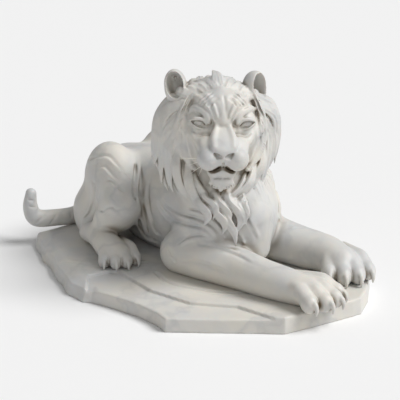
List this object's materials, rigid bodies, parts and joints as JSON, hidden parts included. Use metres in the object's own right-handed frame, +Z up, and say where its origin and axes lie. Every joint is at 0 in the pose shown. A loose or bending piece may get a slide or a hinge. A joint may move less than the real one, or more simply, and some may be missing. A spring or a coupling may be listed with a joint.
{
  "type": "reclining tiger statue",
  "caption": "Reclining big cat carved in white marble with a thick mane and its head turned to its right, lying on a low irregular slab; garden or gate ornament.",
  "frame": {"origin": "middle of the footprint, on the slab's underside", "axes": "+X the way the animal's body faces, +Y its left side, +Z up"},
  "size_m": [1.469, 0.9976, 0.8574],
  "materials": {
    "tiger": "honed",
    "plinth": "honed",
    "whiskers": "satin"
  },
  "bodies": {
    "root": {"tiger": "tiger", "plinth": "plinth", "whisker_right_1": "whiskers", "whisker_right_2": "whiskers", "whisker_right_3": "whiskers", "whisker_right_4": "whiskers"}
  },
  "joints": []
}
